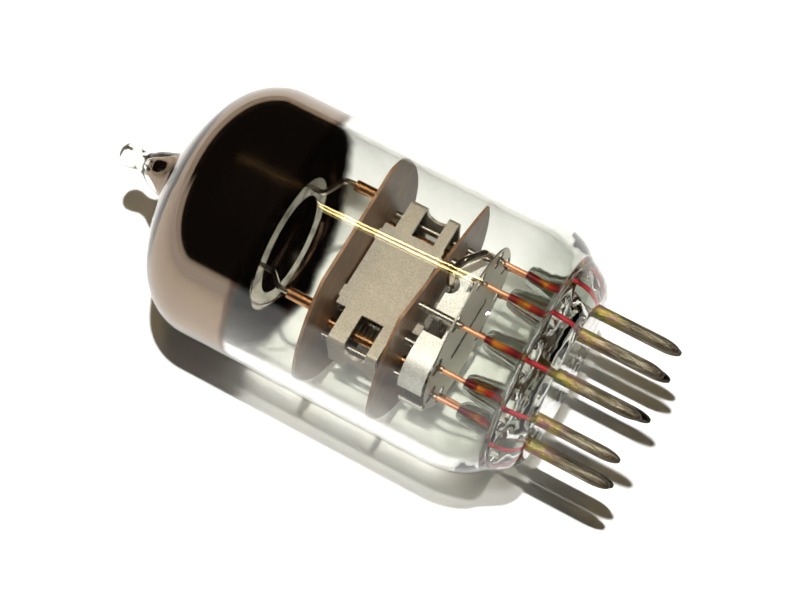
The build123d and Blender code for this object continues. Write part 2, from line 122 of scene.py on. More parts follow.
# %% Helpers for node trees
def add(tree, kind, inputs=None, **settings):
    """Adds a node. An input is a plain value, or a socket to link from."""
    made = tree.nodes.new(kind)
    for name, value in settings.items():
        setattr(made, name, value)
    for name, value in (inputs or {}).items():
        if isinstance(value, bpy.types.NodeSocket):
            tree.links.new(value, made.inputs[name])
        else:
            made.inputs[name].default_value = value
    return made


def blend(tree, factor, first, second):
    """Colour that goes from first to second."""
    made = add(tree, "ShaderNodeMix", {0: factor, 6: first, 7: second}, data_type="RGBA")
    return made.outputs[2]


def ramp(tree, value, stops, smooth=True):
    """Colour of a value along a ramp of (place, colour) stops."""
    made = add(tree, "ShaderNodeValToRGB", {0: value})
    made.color_ramp.interpolation = "EASE" if smooth else "LINEAR"
    elements = made.color_ramp.elements
    while len(elements) < len(stops):
        elements.new(0.5)
    for element, (place, colour) in zip(elements, stops):
        element.position = place
        element.color = colour
    return made.outputs["Color"]


def reach(tree, value, start, end, kind="SMOOTHSTEP"):
    """Value that climbs from 0 at start to 1 at end."""
    made = add(
        tree, "ShaderNodeMapRange", {0: value, 1: start, 2: end, 3: 0.0, 4: 1.0}, interpolation_type=kind
    )
    return made.outputs[0]


def maths(tree, operation, first, second=0.0):
    """One arithmetic step."""
    return add(tree, "ShaderNodeMath", {0: first, 1: second}, operation=operation).outputs[0]


def tone(oxide_red_and_painted_glint, green, blue):
    """Linear colour of a display colour given from 0 to 255."""
    shares = [c / 255 for c in (oxide_red_and_painted_glint, green, blue)]
    linear = [share / 12.92 if share < 0.0404 else ((share + 0.055) / 1.055) ** 2.4 for share in shares]
    return (*linear, 1.0)


# %% Helper that starts a material
def start_material(name):
    """New material: its tree, its Principled shader and its output node."""
    made = bpy.data.materials.new(name)
    made.use_nodes = True
    tree = made.node_tree
    tree.nodes.clear()
    shader = add(tree, "ShaderNodeBsdfPrincipled")
    output = add(tree, "ShaderNodeOutputMaterial", {"Surface": shader.outputs[0]})
    return made, tree, shader, output


def fill(shader, inputs):
    """Sets or links the inputs of a shader."""
    tree = shader.id_data
    for name, value in inputs.items():
        if isinstance(value, bpy.types.NodeSocket):
            tree.links.new(value, shader.inputs[name])
        else:
            shader.inputs[name].default_value = value


def dress(material, *names):
    """Puts a material on nodes of the frame."""
    for name in names:
        for slot in nodes[name].material_slots:
            slot.material = material
    print(material.name, "on", len(names), "nodes")


# %% [markdown]
# ## The stage
# Glass shows what is around it. A white floor under a dark room makes clean dark and light shapes in it, as
# in a product picture: the sky is pale only in a low ring at the horizon and nearly black overhead. Mirror
# rays also find a dark room behind the tube, as if the table ended there, which draws the glass's edges.
# Matte surfaces get only a fifth of the pale ring, which keeps the shadows deep.

# %% World
ROOM_DARK = (0.014, 0.012, 0.011, 1)
PALE = (0.93, 0.93, 0.93, 1)
RING_FULL, RING_END = radians(6), radians(11)  # elevations where the pale ring starts to fade and is gone
world = bpy.data.worlds.new("studio")
bpy.context.scene.world = world
world.use_nodes = True
sky = world.node_tree
sky.nodes.clear()
direction = add(sky, "ShaderNodeTexCoord").outputs["Generated"]
split_direction = add(sky, "ShaderNodeSeparateXYZ", {0: direction})
height = split_direction.outputs["Z"]
overhead = reach(sky, height, sin(RING_FULL), sin(RING_END))
away = reach(sky, split_direction.outputs["Y"], -0.15, 0.1)
mirrored = maths(sky, "GREATER_THAN", add(sky, "ShaderNodeLightPath").outputs["Glossy Depth"], 0.5)
dark_part = maths(sky, "MAXIMUM", overhead, maths(sky, "MULTIPLY", away, mirrored))
sky_colour = blend(sky, dark_part, PALE, ROOM_DARK)
from_matte = add(sky, "ShaderNodeLightPath").outputs["Is Diffuse Ray"]
sky_strength = maths(sky, "SUBTRACT", 1.0, maths(sky, "MULTIPLY", from_matte, 0.8))
backdrop = add(sky, "ShaderNodeBackground", {"Color": sky_colour, "Strength": sky_strength})
add(sky, "ShaderNodeOutputWorld", {"Surface": backdrop.outputs[0]})
print("world: pale ring under a dark ceiling")

# %% Floor
FLOOR_HALF = 2500.0
TABLE_END = 60.0  # where the table ends for mirror rays, towards +Y
FAR_START, FAR_END = 70.0, 160.0  # past here mirror rays see an evenly lit table
bm = bmesh.new()
bmesh.ops.create_grid(bm, x_segments=1, y_segments=1, size=FLOOR_HALF * MM,
                      matrix=Matrix.Translation((0, 0, FLOOR_Z * MM)))
floor_mesh = bpy.data.meshes.new("floor")
bm.to_mesh(floor_mesh)
bm.free()
floor = bpy.data.objects.new("floor", floor_mesh)
bpy.context.scene.collection.objects.link(floor)
paper, tree, shader, output = start_material("white_paper")
fill(shader, {"Base Color": (0.93, 0.93, 0.925, 1), "Roughness": 0.9, "Specular IOR Level": 0.1})
place = add(tree, "ShaderNodeTexCoord").outputs["Object"]
past_end = reach(tree, add(tree, "ShaderNodeSeparateXYZ", {0: place}).outputs["Y"],
                 0.8 * TABLE_END * MM, 1.2 * TABLE_END * MM)
mirrored = maths(tree, "GREATER_THAN", add(tree, "ShaderNodeLightPath").outputs["Glossy Depth"], 0.5)
from_middle = add(tree, "ShaderNodeVectorMath", {0: place}, operation="LENGTH").outputs["Value"]
beyond = maths(tree, "MAXIMUM", past_end, reach(tree, from_middle, FAR_START * MM, FAR_END * MM))
# For mirror rays the far floor is a glowing emission: a painted reflection of an evenly lit table, and a dark
# one past the table end.
mirrored_floor_glow = add(tree, "ShaderNodeEmission", {"Color": blend(tree, past_end, PALE, ROOM_DARK)})
paper_mix = add(tree, "ShaderNodeMixShader", {0: maths(tree, "MULTIPLY", beyond, mirrored),
                                              1: shader.outputs[0], 2: mirrored_floor_glow.outputs[0]})
tree.links.new(paper_mix.outputs[0], output.inputs["Surface"])
floor_mesh.materials.append(paper)
print("floor at", round(FLOOR_Z, 2), "mm")

# %% Lamps
KEY_AT = Vector((-5.6, -11.4, 218.0))  # the key light is small and hangs almost straight overhead
key = bpy.data.objects.new("key", bpy.data.lights.new("key", "POINT"))
key.data.energy = 2.95
key.data.shadow_soft_size = 3.0 * MM
key.data.color = (1.0, 0.988, 0.97)
key.location = KEY_AT * MM
bpy.context.scene.collection.objects.link(key)


def strip_lamp(name, start, end, width, energy):
    """A thin warm tube lamp from start to end, facing the tube on the table."""
    made = bpy.data.objects.new(name, bpy.data.lights.new(name, "AREA"))
    start, end = Vector(start), Vector(end)
    run, centre = end - start, (start + end) / 2
    made.data.shape = "RECTANGLE"
    made.data.size, made.data.size_y = run.length * MM, width * MM
    made.data.energy = energy
    made.data.color = (1.0, 0.74, 0.3)
    away_z = (centre - Vector((-14, 0, 0))).normalized()
    away_y = away_z.cross(run.normalized()).normalized()
    turn = Matrix((away_y.cross(away_z), away_y, away_z)).transposed().to_4x4()
    made.matrix_world = Matrix.Translation(centre * MM) @ turn
    bpy.context.scene.collection.objects.link(made)


strip_lamp("strip_far", (-95, 72, 290), (-56, 100, 290), 6.0, 0.038)
strip_lamp("strip_near", (-94, 60, 290), (-58, 75, 290), 7.0, 0.034)
print("lamps: key and two strips")

# %% Light paths
cycles = bpy.context.scene.cycles
cycles.use_denoising = True
cycles.max_bounces = 24
cycles.diffuse_bounces = 4
cycles.glossy_bounces = 8
cycles.transmission_bounces = 20
cycles.transparent_max_bounces = 32
cycles.sample_clamp_indirect = 4.0
cycles.blur_glossy = 0.6
bpy.context.scene.view_settings.view_transform = "Standard"
print("light paths:", cycles.max_bounces, "bounces")

# %% [markdown]
# ## The glass
# Drawn tubing, a pumping stem melted shut and a pressed button are fused into one piece, so one mesh stands
# for all three. Its section is drawn as a line of arcs and curves and spun round the axis, once for the
# outside and once for the inside.

# %% Helpers for turned shapes
def arc(centre_x, centre_r, radius, start, turn, steps):
    """Points on an arc in the half plane of X and radius, without its first point."""
    angles = [start + turn * (step + 1) / steps for step in range(steps)]
    return [(centre_x + radius * cos(a), centre_r + radius * sin(a)) for a in angles]


def curve(start, lead_out, lead_in, end, steps):
    """Points on a Bezier curve, without its first point."""
    points = interpolate_bezier(Vector(start), Vector(lead_out), Vector(lead_in), Vector(end), steps + 1)
    return [tuple(p)[:2] for p in points[1:]]


def straight(start, end, steps):
    """Even points from start to end, without the first."""
    return [tuple(Vector(start).lerp(Vector(end), (step + 1) / steps)) for step in range(steps)]


def turn_profile(profile, steps, place=(0.0, 0.0)):
    """A bmesh of a section (x, radius) spun round an axis parallel to X through place (y, z)."""
    bm = bmesh.new()
    verts = [bm.verts.new((x * MM, (place[0] + r) * MM, place[1] * MM)) for x, r in profile]
    edges = [bm.edges.new(pair) for pair in zip(verts, verts[1:])]
    bmesh.ops.spin(
        bm, geom=verts + edges, cent=(0, place[0] * MM, place[1] * MM), axis=(1, 0, 0), angle=2 * pi,
        steps=steps, use_merge=True,
    )
    bmesh.ops.remove_doubles(bm, verts=bm.verts, dist=1e-7)
    return bm


def join(bm, other):
    """Adds another bmesh to bm and frees it."""
    passing = bpy.data.meshes.new("passing")
    other.to_mesh(passing)
    other.free()
    bm.from_mesh(passing)
    bpy.data.meshes.remove(passing)


def finish_piece(bm, name, material, smooth=True, body="root"):
    """Makes the bmesh an object that rides on the body and wears the material."""
    mesh = bpy.data.meshes.new(name)
    for face in bm.faces:
        face.smooth = smooth
    faces = len(bm.faces)
    bm.to_mesh(mesh)
    bm.free()
    piece = bpy.data.objects.new(name, mesh)
    bpy.context.scene.collection.objects.link(piece)
    mesh.materials.append(material)
    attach(piece, body)
    print(name, faces, "faces")
    return piece


# %% [markdown]
# The dome is a tight shoulder arc that runs into a flatter crown. Both skins share its centres, which keeps
# the wall even.

# %% Section of the dome
def dome_points(inset, steps=14):
    """Shoulder and crown from the straight wall inwards, at a depth under the outer skin."""
    shoulder_r, crown_r = SHOULDER_R - inset, CROWN_R - inset
    centre_r = BULB_R - SHOULDER_R
    shoulder = arc(SHOULDER_X, centre_r, shoulder_r, pi / 2, SHOULDER_TURN, steps)
    lean = pi / 2 + SHOULDER_TURN
    crown_x = SHOULDER_X - (CROWN_R - SHOULDER_R) * cos(lean)
    crown_centre_r = centre_r - (CROWN_R - SHOULDER_R) * sin(lean)
    crown = arc(crown_x, crown_centre_r, crown_r, lean, CROWN_TURN, steps)
    return shoulder + crown


outer_dome = dome_points(0)
inner_dome = dome_points(WALL)
print("dome ends at radius", round(outer_dome[-1][1], 2), "and", round(inner_dome[-1][1], 2))

# %% Outer skin
FLAT_R = 6.7  # radius of the flat underside of the button
SEAL_R = 9.35
TURN_STEPS = 160
neck_start = outer_dome[-1]
outer = [(HEEL_X, BULB_R)]
outer += straight((HEEL_X, BULB_R), (SHOULDER_X, BULB_R), 24)
outer += outer_dome
outer += curve(neck_start, (-35.2, neck_start[1] - 0.75), (-36.3, 1.75), (-36.9, 1.32), 10)
outer += curve((-36.9, 1.32), (-37.3, 1.03), (-37.5, 0.84), (-37.95, 0.82), 8)
outer += curve((-37.95, 0.82), (-38.35, 0.8), (-38.5, 1.0), (-38.95, 1.0), 8)
outer += curve((-38.95, 1.0), (-39.5, 1.0), (TIP_X, 0.6), (TIP_X, 0.0), 10)
underside = curve((HEEL_X, BULB_R), (-5.2, BULB_R), (-3.4, 10.25), (SEAL_X, SEAL_R), 14)
underside += curve((SEAL_X, SEAL_R), (-1.95, 8.75), (-0.9, 8.45), (-0.42, 7.75), 12)
underside += curve((-0.42, 7.75), (-0.1, 7.25), (0.0, 7.0), (0.0, FLAT_R), 6)
underside += straight((0.0, FLAT_R), (0.0, 0.0), 6)
outer = list(reversed(underside)) + outer
outer_skin = turn_profile(outer, TURN_STEPS)
bmesh.ops.recalc_face_normals(outer_skin, faces=outer_skin.faces)
print("outer skin", len(outer_skin.faces), "faces")

# %% [markdown]
# Inside, the button rises in a small glass boss round each lead. Each boss is turned on its own axis, and
# the flat between the bosses is one face filled between ten rings, so the inner skin stays closed.

# %% Inner skin
FLOOR_R = 7.95  # radius of the flat between the bosses
BOSS_FOOT_R, BOSS_STEPS = 1.75, 32
inner = curve((SEAL_X, FLOOR_R), (SEAL_X, 8.6), (-3.0, 9.05), (-4.0, 9.25), 10)
inner += curve((-4.0, 9.25), (-4.9, 9.45), (-5.6, INNER_R), (HEEL_X, INNER_R), 8)
inner += straight((HEEL_X, INNER_R), (SHOULDER_X, INNER_R), 24)
inner += inner_dome
inner_neck = inner_dome[-1]
inner += curve(inner_neck, (inner_neck[0] - 0.4, inner_neck[1] - 0.5), (-35.6, 0.75), (-36.4, 0.5), 8)
inner += curve((-36.4, 0.5), (-36.9, 0.34), (-37.4, 0.3), (-37.4, 0.0), 8)
inner = [(SEAL_X, FLOOR_R)] + inner
inner_skin = turn_profile(inner, TURN_STEPS)
boss = [(SEAL_X, BOSS_FOOT_R)]
boss += curve((SEAL_X, BOSS_FOOT_R), (SEAL_X, 1.42), (-2.75, 1.35), (-3.1, 1.3), 6)
boss += curve((-3.1, 1.3), (-4.0, 1.2), (-4.8, 1.08), (-5.4, 0.92), 6)
boss += curve((-5.4, 0.92), (-5.75, 0.82), (-5.95, 0.7), (-5.98, 0.3), 6)
boss += [(BOSS_X, 0.0)]
for place in pin_places:
    join(inner_skin, turn_profile(boss, BOSS_STEPS, place))
rings = [e for e in inner_skin.edges if len(e.link_faces) == 1]
bmesh.ops.triangle_fill(inner_skin, edges=rings, use_beauty=True)
bmesh.ops.remove_doubles(inner_skin, verts=inner_skin.verts, dist=1e-7)
bmesh.ops.recalc_face_normals(inner_skin, faces=inner_skin.faces)
bmesh.ops.reverse_faces(inner_skin, faces=inner_skin.faces)
open_edges = sum(not e.is_manifold for e in inner_skin.edges)
print("inner skin", len(inner_skin.faces), "faces,", open_edges, "open edges")

# %% [markdown]
# Clear glass is a Principled shader with full transmission. Lamps can't reach through refracting glass to
# what is inside, so shadow rays meet a plain transparent shader instead.

# %% Clear glass
WAVE_HEIGHT, RIDGE_HEIGHT, DIMPLE_HEIGHT = 0.0045, 0.018, 0.016  # millimetres
clear_glass, tree, shader, output = start_material("clear_glass")
place = add(tree, "ShaderNodeTexCoord").outputs["Object"]
along_x = add(tree, "ShaderNodeSeparateXYZ", {0: place}).outputs["X"]
# Mask of the thick button glass, where the glass tint is also darkened as painted shade.
thick_and_shaded_base = reach(tree, along_x, -7.5 * MM, -3.5 * MM)
streaks = add(tree, "ShaderNodeMapping", {"Vector": place, "Scale": (60, 420, 420)}).outputs[0]
waves = add(tree, "ShaderNodeTexNoise", {"Vector": streaks, "Scale": 1.0, "Detail": 2.0}).outputs["Fac"]
pressed = add(tree, "ShaderNodeMapping", {"Vector": place, "Scale": (1300, 170, 170)}).outputs[0]
ridges = add(tree, "ShaderNodeTexNoise", {"Vector": pressed, "Scale": 1.0, "Detail": 1.0}).outputs["Fac"]
dimples = add(tree, "ShaderNodeTexNoise", {"Vector": place, "Scale": 900.0, "Detail": 1.0}).outputs["Fac"]
button = reach(tree, along_x, -3.7 * MM, -2.2 * MM)
height = maths(tree, "MULTIPLY", waves, WAVE_HEIGHT * MM)
for relief, where, depth in ((ridges, thick_and_shaded_base, RIDGE_HEIGHT), (dimples, button, DIMPLE_HEIGHT)):
    part = maths(tree, "MULTIPLY", maths(tree, "MULTIPLY", relief, where), depth * MM)
    height = maths(tree, "ADD", height, part)
marks = add(tree, "ShaderNodeBump", {"Height": height, "Strength": 1.0, "Distance": 1.0})
# The thick button glass gets a darker grey-green tint: partly the glass's own tint, partly painted shade for
# the dark shadow seen through it.
fill(shader, {
    "Base Color": blend(tree, thick_and_shaded_base, (0.86, 0.872, 0.845, 1), (0.64, 0.665, 0.62, 1)),
    "Roughness": 0.0, "IOR": 1.5, "Transmission Weight": 1.0, "Normal": marks.outputs[0],
})
shade = blend(tree, thick_and_shaded_base, (0.84, 0.84, 0.82, 1), (0.36, 0.35, 0.32, 1))
tip = reach(tree, along_x, -34.5 * MM, -35.5 * MM)
shade = blend(tree, tip, shade, (0.16, 0.14, 0.12, 1))
facing = add(tree, "ShaderNodeLayerWeight", {"Blend": 0.5}).outputs["Facing"]
rim = blend(tree, reach(tree, along_x, -22.0 * MM, -24.0 * MM), (0.55, 0.55, 0.53, 1), (0.1, 0.09, 0.08, 1))
slanting = reach(tree, facing, 0.4, 0.62)
lets_through = add(tree, "ShaderNodeBsdfTransparent", {"Color": blend(tree, slanting, shade, rim)})
is_shadow = add(tree, "ShaderNodeLightPath").outputs["Is Shadow Ray"]
glass_mix = add(tree, "ShaderNodeMixShader", {0: is_shadow, 1: shader.outputs[0], 2: lets_through.outputs[0]})
tree.links.new(glass_mix.outputs[0], output.inputs["Surface"])

# %% Join the two skins
join(outer_skin, inner_skin)
envelope = finish_piece(outer_skin, "glass_envelope", clear_glass)
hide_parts("glass_bulb", "exhaust_tip", "glass_stem")

# %% [markdown]
# ## The getter film
# Flashing the getter leaves a mirror of metal inside the dome. It ends in a soft oblique edge. The film is a
# thin shell set just into the inner skin, and a mask on Object coordinates fades it into clear glass.

# %% Shape of the film
FILM_SINK, FILM_T = 0.04, 0.015  # depth in the glass, so no air is left under it, and thickness
FILM_END_X = -20.5
film_line = [(FILM_END_X, INNER_R + FILM_SINK)]
film_line += straight(film_line[0], (SHOULDER_X, INNER_R + FILM_SINK), 12)
film_line += dome_points(WALL - FILM_SINK)
film_neck = film_line[-1]
film_line += curve(film_neck, (film_neck[0] - 0.4, film_neck[1] - 0.5), (-35.6, 0.8), (-36.9, 0.42), 8)
film_skin = turn_profile(film_line, 96)
bmesh.ops.recalc_face_normals(film_skin, faces=film_skin.faces)
bmesh.ops.solidify(film_skin, geom=film_skin.faces, thickness=FILM_T * MM)

# %% Finish of the film
FILM_EDGE_X, FILM_SLOPE = -23.2, 0.1  # the edge draws back a little at the sides
mirror_film, tree, shader, output = start_material("mirror_film")
place = add(tree, "ShaderNodeTexCoord").outputs["Object"]
split = add(tree, "ShaderNodeSeparateXYZ", {0: place})
cloud = add(tree, "ShaderNodeTexNoise", {"Vector": place, "Scale": 260.0, "Detail": 3.0, "Roughness": 0.55})
off_middle = maths(tree, "ABSOLUTE", split.outputs["Y"])
lean = maths(tree, "ADD", split.outputs["X"], maths(tree, "MULTIPLY", off_middle, FILM_SLOPE))
ragged = maths(tree, "ADD", lean, maths(tree, "MULTIPLY", cloud.outputs["Fac"], 1.2 * MM))
film_mask = reach(tree, ragged, (FILM_EDGE_X + 1.2) * MM, (FILM_EDGE_X + 0.0) * MM)
fill(shader, {
    "Base Color": ramp(tree, film_mask, [(0.0, tone(120, 118, 100)), (0.5, tone(120, 92, 78)),
                                         (1.0, tone(150, 130, 112))]),
    "Metallic": 1.0,
    "Roughness": maths(tree, "ADD", maths(tree, "MULTIPLY", cloud.outputs["Fac"], 0.03), 0.02),
})
bare = add(tree, "ShaderNodeBsdfTransparent")
film_mix = add(tree, "ShaderNodeMixShader", {0: film_mask, 1: bare.outputs[0], 2: shader.outputs[0]})
tree.links.new(film_mix.outputs[0], output.inputs["Surface"])
film = finish_piece(film_skin, "getter_film_coat", mirror_film)
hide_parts("getter_film")

# %% [markdown]
# ## Metals
# Sheet parts are matte and sparkle, because their surface is rough on the scale of a few hundredths of a
# millimetre. Wires are drawn, so their marks run along them. Each effect is a node group, used by several
# materials with its own values.

# %% Group: sparkle of sheet metal
def group(name, ins, outs):
    """New shader node group with named inputs and outputs."""
    made = bpy.data.node_groups.new(name, "ShaderNodeTree")
    for label, kind, value in ins:
        socket = made.interface.new_socket(label, in_out="INPUT", socket_type=kind)
        socket.default_value = value
    for label, kind in outs:
        made.interface.new_socket(label, in_out="OUTPUT", socket_type=kind)
    return made, add(made, "NodeGroupInput"), add(made, "NodeGroupOutput")


COLOUR, NUMBER, VECTOR = "NodeSocketColor", "NodeSocketFloat", "NodeSocketVector"
sheet_sparkle, given, out = group(
    "sheet_sparkle",
    [("Face", COLOUR, (0.5, 0.5, 0.5, 1)), ("Pit", COLOUR, (0.2, 0.2, 0.2, 1)),
     ("Cut edge", COLOUR, (0.7, 0.7, 0.7, 1)), ("Grain per m", NUMBER, 14000.0), ("Depth", NUMBER, 0.5)],
    [("Color", COLOUR), ("Roughness", NUMBER), ("Normal", VECTOR)],
)
place = add(sheet_sparkle, "ShaderNodeTexCoord").outputs["Object"]
cells = add(sheet_sparkle, "ShaderNodeTexVoronoi", {"Vector": place, "Scale": given.outputs["Grain per m"]})
mottle = add(sheet_sparkle, "ShaderNodeTexNoise", {"Vector": place, "Scale": 900.0, "Detail": 5.0})
grain = add(sheet_sparkle, "ShaderNodeSeparateColor", {0: cells.outputs["Color"]}).outputs[0]
pits = maths(sheet_sparkle, "POWER", grain, 2.5)
bright = reach(sheet_sparkle, grain, 0.05, 0.6)
speckled = blend(sheet_sparkle, bright, given.outputs["Pit"], given.outputs["Face"])
patch = reach(sheet_sparkle, mottle.outputs["Fac"], 0.35, 0.75)
tinted = blend(sheet_sparkle, maths(sheet_sparkle, "MULTIPLY", patch, 0.35), speckled, given.outputs["Pit"])
facing = add(sheet_sparkle, "ShaderNodeNewGeometry").outputs["True Normal"]
cut = maths(sheet_sparkle, "ABSOLUTE", add(sheet_sparkle, "ShaderNodeSeparateXYZ", {0: facing}).outputs["X"])
cut = reach(sheet_sparkle, cut, 0.6, 0.8)
bump = add(sheet_sparkle, "ShaderNodeBump",
           {"Height": grain, "Strength": given.outputs["Depth"], "Distance": 0.00003})
fill(out, {
    "Color": blend(sheet_sparkle, cut, tinted, given.outputs["Cut edge"]),
    "Roughness": maths(sheet_sparkle, "SUBTRACT", 0.55, maths(sheet_sparkle, "MULTIPLY", pits, 0.25)),
    "Normal": bump.outputs[0],
})

# %% Group: marks of drawn wire
drawn_wire, given, out = group(
    "drawn_wire",
    [("Bright", COLOUR, (0.7, 0.7, 0.7, 1)), ("Dull", COLOUR, (0.4, 0.4, 0.4, 1)),
     ("Roughness", NUMBER, 0.25)],
    [("Color", COLOUR), ("Roughness", NUMBER), ("Normal", VECTOR)],
)
place = add(drawn_wire, "ShaderNodeTexCoord").outputs["Object"]
along = add(drawn_wire, "ShaderNodeMapping", {"Vector": place, "Scale": (900, 7000, 7000)}).outputs[0]
marks = add(drawn_wire, "ShaderNodeTexNoise", {"Vector": along, "Scale": 1.0, "Detail": 3.0}).outputs["Fac"]
stains = add(drawn_wire, "ShaderNodeTexNoise", {"Vector": place, "Scale": 700.0, "Detail": 3.0})
stain = reach(drawn_wire, stains.outputs["Fac"], 0.4, 0.7)
dulling = maths(drawn_wire, "MULTIPLY", stain, 0.12)
bump = add(drawn_wire, "ShaderNodeBump", {"Height": marks, "Strength": 0.35, "Distance": 0.00002})
fill(out, {
    "Color": blend(drawn_wire, stain, given.outputs["Bright"], given.outputs["Dull"]),
    "Roughness": maths(drawn_wire, "ADD", given.outputs["Roughness"], dulling),
    "Normal": bump.outputs[0],
})

# %% Helpers that use the groups
def sheet_material(name, face, pit, edge, grain, depth, metallic):
    """Matte sheet metal with its own colours, grain and depth of sparkle."""
    made, tree, shader, _ = start_material(name)
    effect = add(tree, "ShaderNodeGroup", node_tree=sheet_sparkle)
    values = {"Face": face, "Pit": pit, "Cut edge": edge, "Grain per m": grain, "Depth": depth}
    for label, value in values.items():
        effect.inputs[label].default_value = value
    fill(shader, {label: effect.outputs[label] for label in ("Roughness", "Normal")})
    fill(shader, {"Base Color": effect.outputs["Color"], "Metallic": metallic})
    return made


def wire_material(name, bright, dull, roughness):
    """Drawn wire with a bright colour, a colour for its stains and a roughness."""
    made, tree, shader, _ = start_material(name)
    effect = add(tree, "ShaderNodeGroup", node_tree=drawn_wire)
    for label, value in (("Bright", bright), ("Dull", dull), ("Roughness", roughness)):
        effect.inputs[label].default_value = value
    fill(shader, {label: effect.outputs[label] for label in ("Roughness", "Normal")})
    fill(shader, {"Base Color": effect.outputs["Color"], "Metallic": 1.0})
    return made


# %% Sheet parts
anode_metal = sheet_material("carbonised_sheet", tone(156, 147, 133), tone(128, 120, 107),
                             tone(222, 216, 202), 20000.0, 0.28, 0.6)
dress(anode_metal, "anode_front", "anode_back")
shield_metal = sheet_material("light_sheet", tone(224, 222, 217), tone(190, 187, 180), tone(245, 243, 238),
                              14000.0, 0.5, 0.6)
dress(shield_metal, "shield_band")
disc_metal = sheet_material("satin_disc", tone(150, 146, 138), tone(120, 116, 108), tone(220, 216, 206),
                            14000.0, 0.2, 0.9)
dress(disc_metal, "shield_disc")

# %% Wires
nickel = wire_material("drawn_nickel", tone(205, 200, 188), tone(120, 110, 96), 0.22)
dress(nickel, "anode_rod_left", "anode_rod_right", "cathode_sleeve", "heater_drop", "heater_strap_4",
      "heater_strap_5", "cathode_strap_3", "grid_strap_2", "grid_strap_9", "anode_strap_7", "shield_strap_1",
      "shield_posts")
bright_nickel = wire_material("bright_nickel", tone(226, 216, 198), tone(150, 128, 100), 0.12)
dress(bright_nickel, "anode_loop_6", "getter_arm_upper", "getter_arm_lower")
ring_metal = wire_material("ring_metal", tone(140, 130, 114), tone(92, 82, 70), 0.12)
dress(ring_metal, "getter_ring")
copper_rod = wire_material("copper_rod", tone(214, 158, 112), tone(140, 92, 60), 0.2)
dress(copper_rod, "grid_rod_left", "grid_rod_right", "getter_sleeve_upper", "getter_sleeve_lower")
gold_wire = wire_material("gold_wire", tone(226, 204, 150), tone(180, 150, 100), 0.15)
dress(gold_wire, "grid_winding")

# %% [markdown]
# ## Seal wires
# A seal wire is copper clad. Where the glass grips it, the copper turned to a deep red oxide. A bright orange
# band near the inner end of the boss is a painted glint of the boss, which works as a lens. Outside the glass
# it stays copper.

# %% Seal wires
seal_copper, tree, shader, _ = start_material("seal_copper")
place = add(tree, "ShaderNodeTexCoord").outputs["Object"]
along_x = add(tree, "ShaderNodeSeparateXYZ", {0: place}).outputs["X"]
flicker = add(tree, "ShaderNodeTexNoise", {"Vector": place, "Scale": 1500.0, "Detail": 3.0}).outputs["Fac"]
wavy = maths(tree, "ADD", along_x, maths(tree, "MULTIPLY", maths(tree, "SUBTRACT", flicker, 0.5), 1.0 * MM))
in_glass = reach(tree, wavy, (BOSS_X - 0.1) * MM, (BOSS_X + 0.25) * MM)
depth = reach(tree, wavy, BOSS_X * MM, SEAL_X * MM, "LINEAR")
# Dark red at the inner end of the boss, then a bright orange band that is a painted glint, then red oxide out
# to the seal.
oxide_red_and_painted_glint = ramp(tree, depth, [(0.0, tone(80, 12, 16)), (0.2, tone(140, 18, 22)), (0.32, tone(255, 150, 44)),
                         (0.5, tone(236, 62, 50)), (0.75, tone(168, 28, 36)), (1.0, tone(190, 46, 56))])
fill(shader, {
    "Base Color": blend(tree, in_glass, tone(238, 168, 128), oxide_red_and_painted_glint),
    "Metallic": maths(tree, "SUBTRACT", 0.85, maths(tree, "MULTIPLY", in_glass, 0.55)),
    "Roughness": maths(tree, "ADD", 0.3, maths(tree, "MULTIPLY", flicker, 0.2)),
})
dress(seal_copper, *[f"seal_wire_{n}" for n in range(1, PIN_COUNT + 1)])

# %% Pins
pin_metal, tree, shader, _ = start_material("oxidised_pin")
place = add(tree, "ShaderNodeTexCoord").outputs["Object"]
along_x = add(tree, "ShaderNodeSeparateXYZ", {0: place}).outputs["X"]
brushed = add(tree, "ShaderNodeMapping", {"Vector": place, "Scale": (500, 3500, 3500)}).outputs[0]
scratches = add(tree, "ShaderNodeTexNoise", {"Vector": brushed, "Scale": 1.0, "Detail": 5.0}).outputs["Fac"]
grit = add(tree, "ShaderNodeTexNoise", {"Vector": place, "Scale": 8000.0, "Detail": 3.0}).outputs["Fac"]
patches = add(tree, "ShaderNodeTexNoise", {"Vector": place, "Scale": 900.0, "Detail": 4.0}).outputs["Fac"]
brown = ramp(tree, scratches, [(0.3, tone(50, 44, 32)), (0.5, tone(100, 92, 72)), (0.7, tone(150, 142, 120))])
tints = ramp(tree, patches, [(0.3, tone(70, 110, 66)), (0.45, tone(168, 150, 60)), (0.6, tone(150, 96, 110)),
                             (0.75, tone(90, 120, 120))])
near_glass = maths(tree, "MULTIPLY", reach(tree, along_x, 3.2 * MM, 0.3 * MM), 0.6)
at_tip = reach(tree, along_x, 4.6 * MM, 6.8 * MM)
fill(shader, {
    "Base Color": blend(tree, maths(tree, "MULTIPLY", at_tip, 0.75), blend(tree, near_glass, brown, tints),
                        tone(52, 42, 30)),
    "Metallic": 0.75,
    "Roughness": maths(tree, "ADD", 0.34, maths(tree, "MULTIPLY", scratches, 0.25)),
    "Normal": add(tree, "ShaderNodeBump", {"Height": maths(tree, "ADD", scratches, grit), "Strength": 0.9,
                                           "Distance": 0.0001}).outputs[0],
})
dress(pin_metal, *[f"pin_{n}" for n in range(1, PIN_COUNT + 1)])

# %% [markdown]
# ## Mica
# A mica spacer is a stack of thin flakes. It looks taupe and smooth, with faint layers, and it glints
# where a flake lifts.

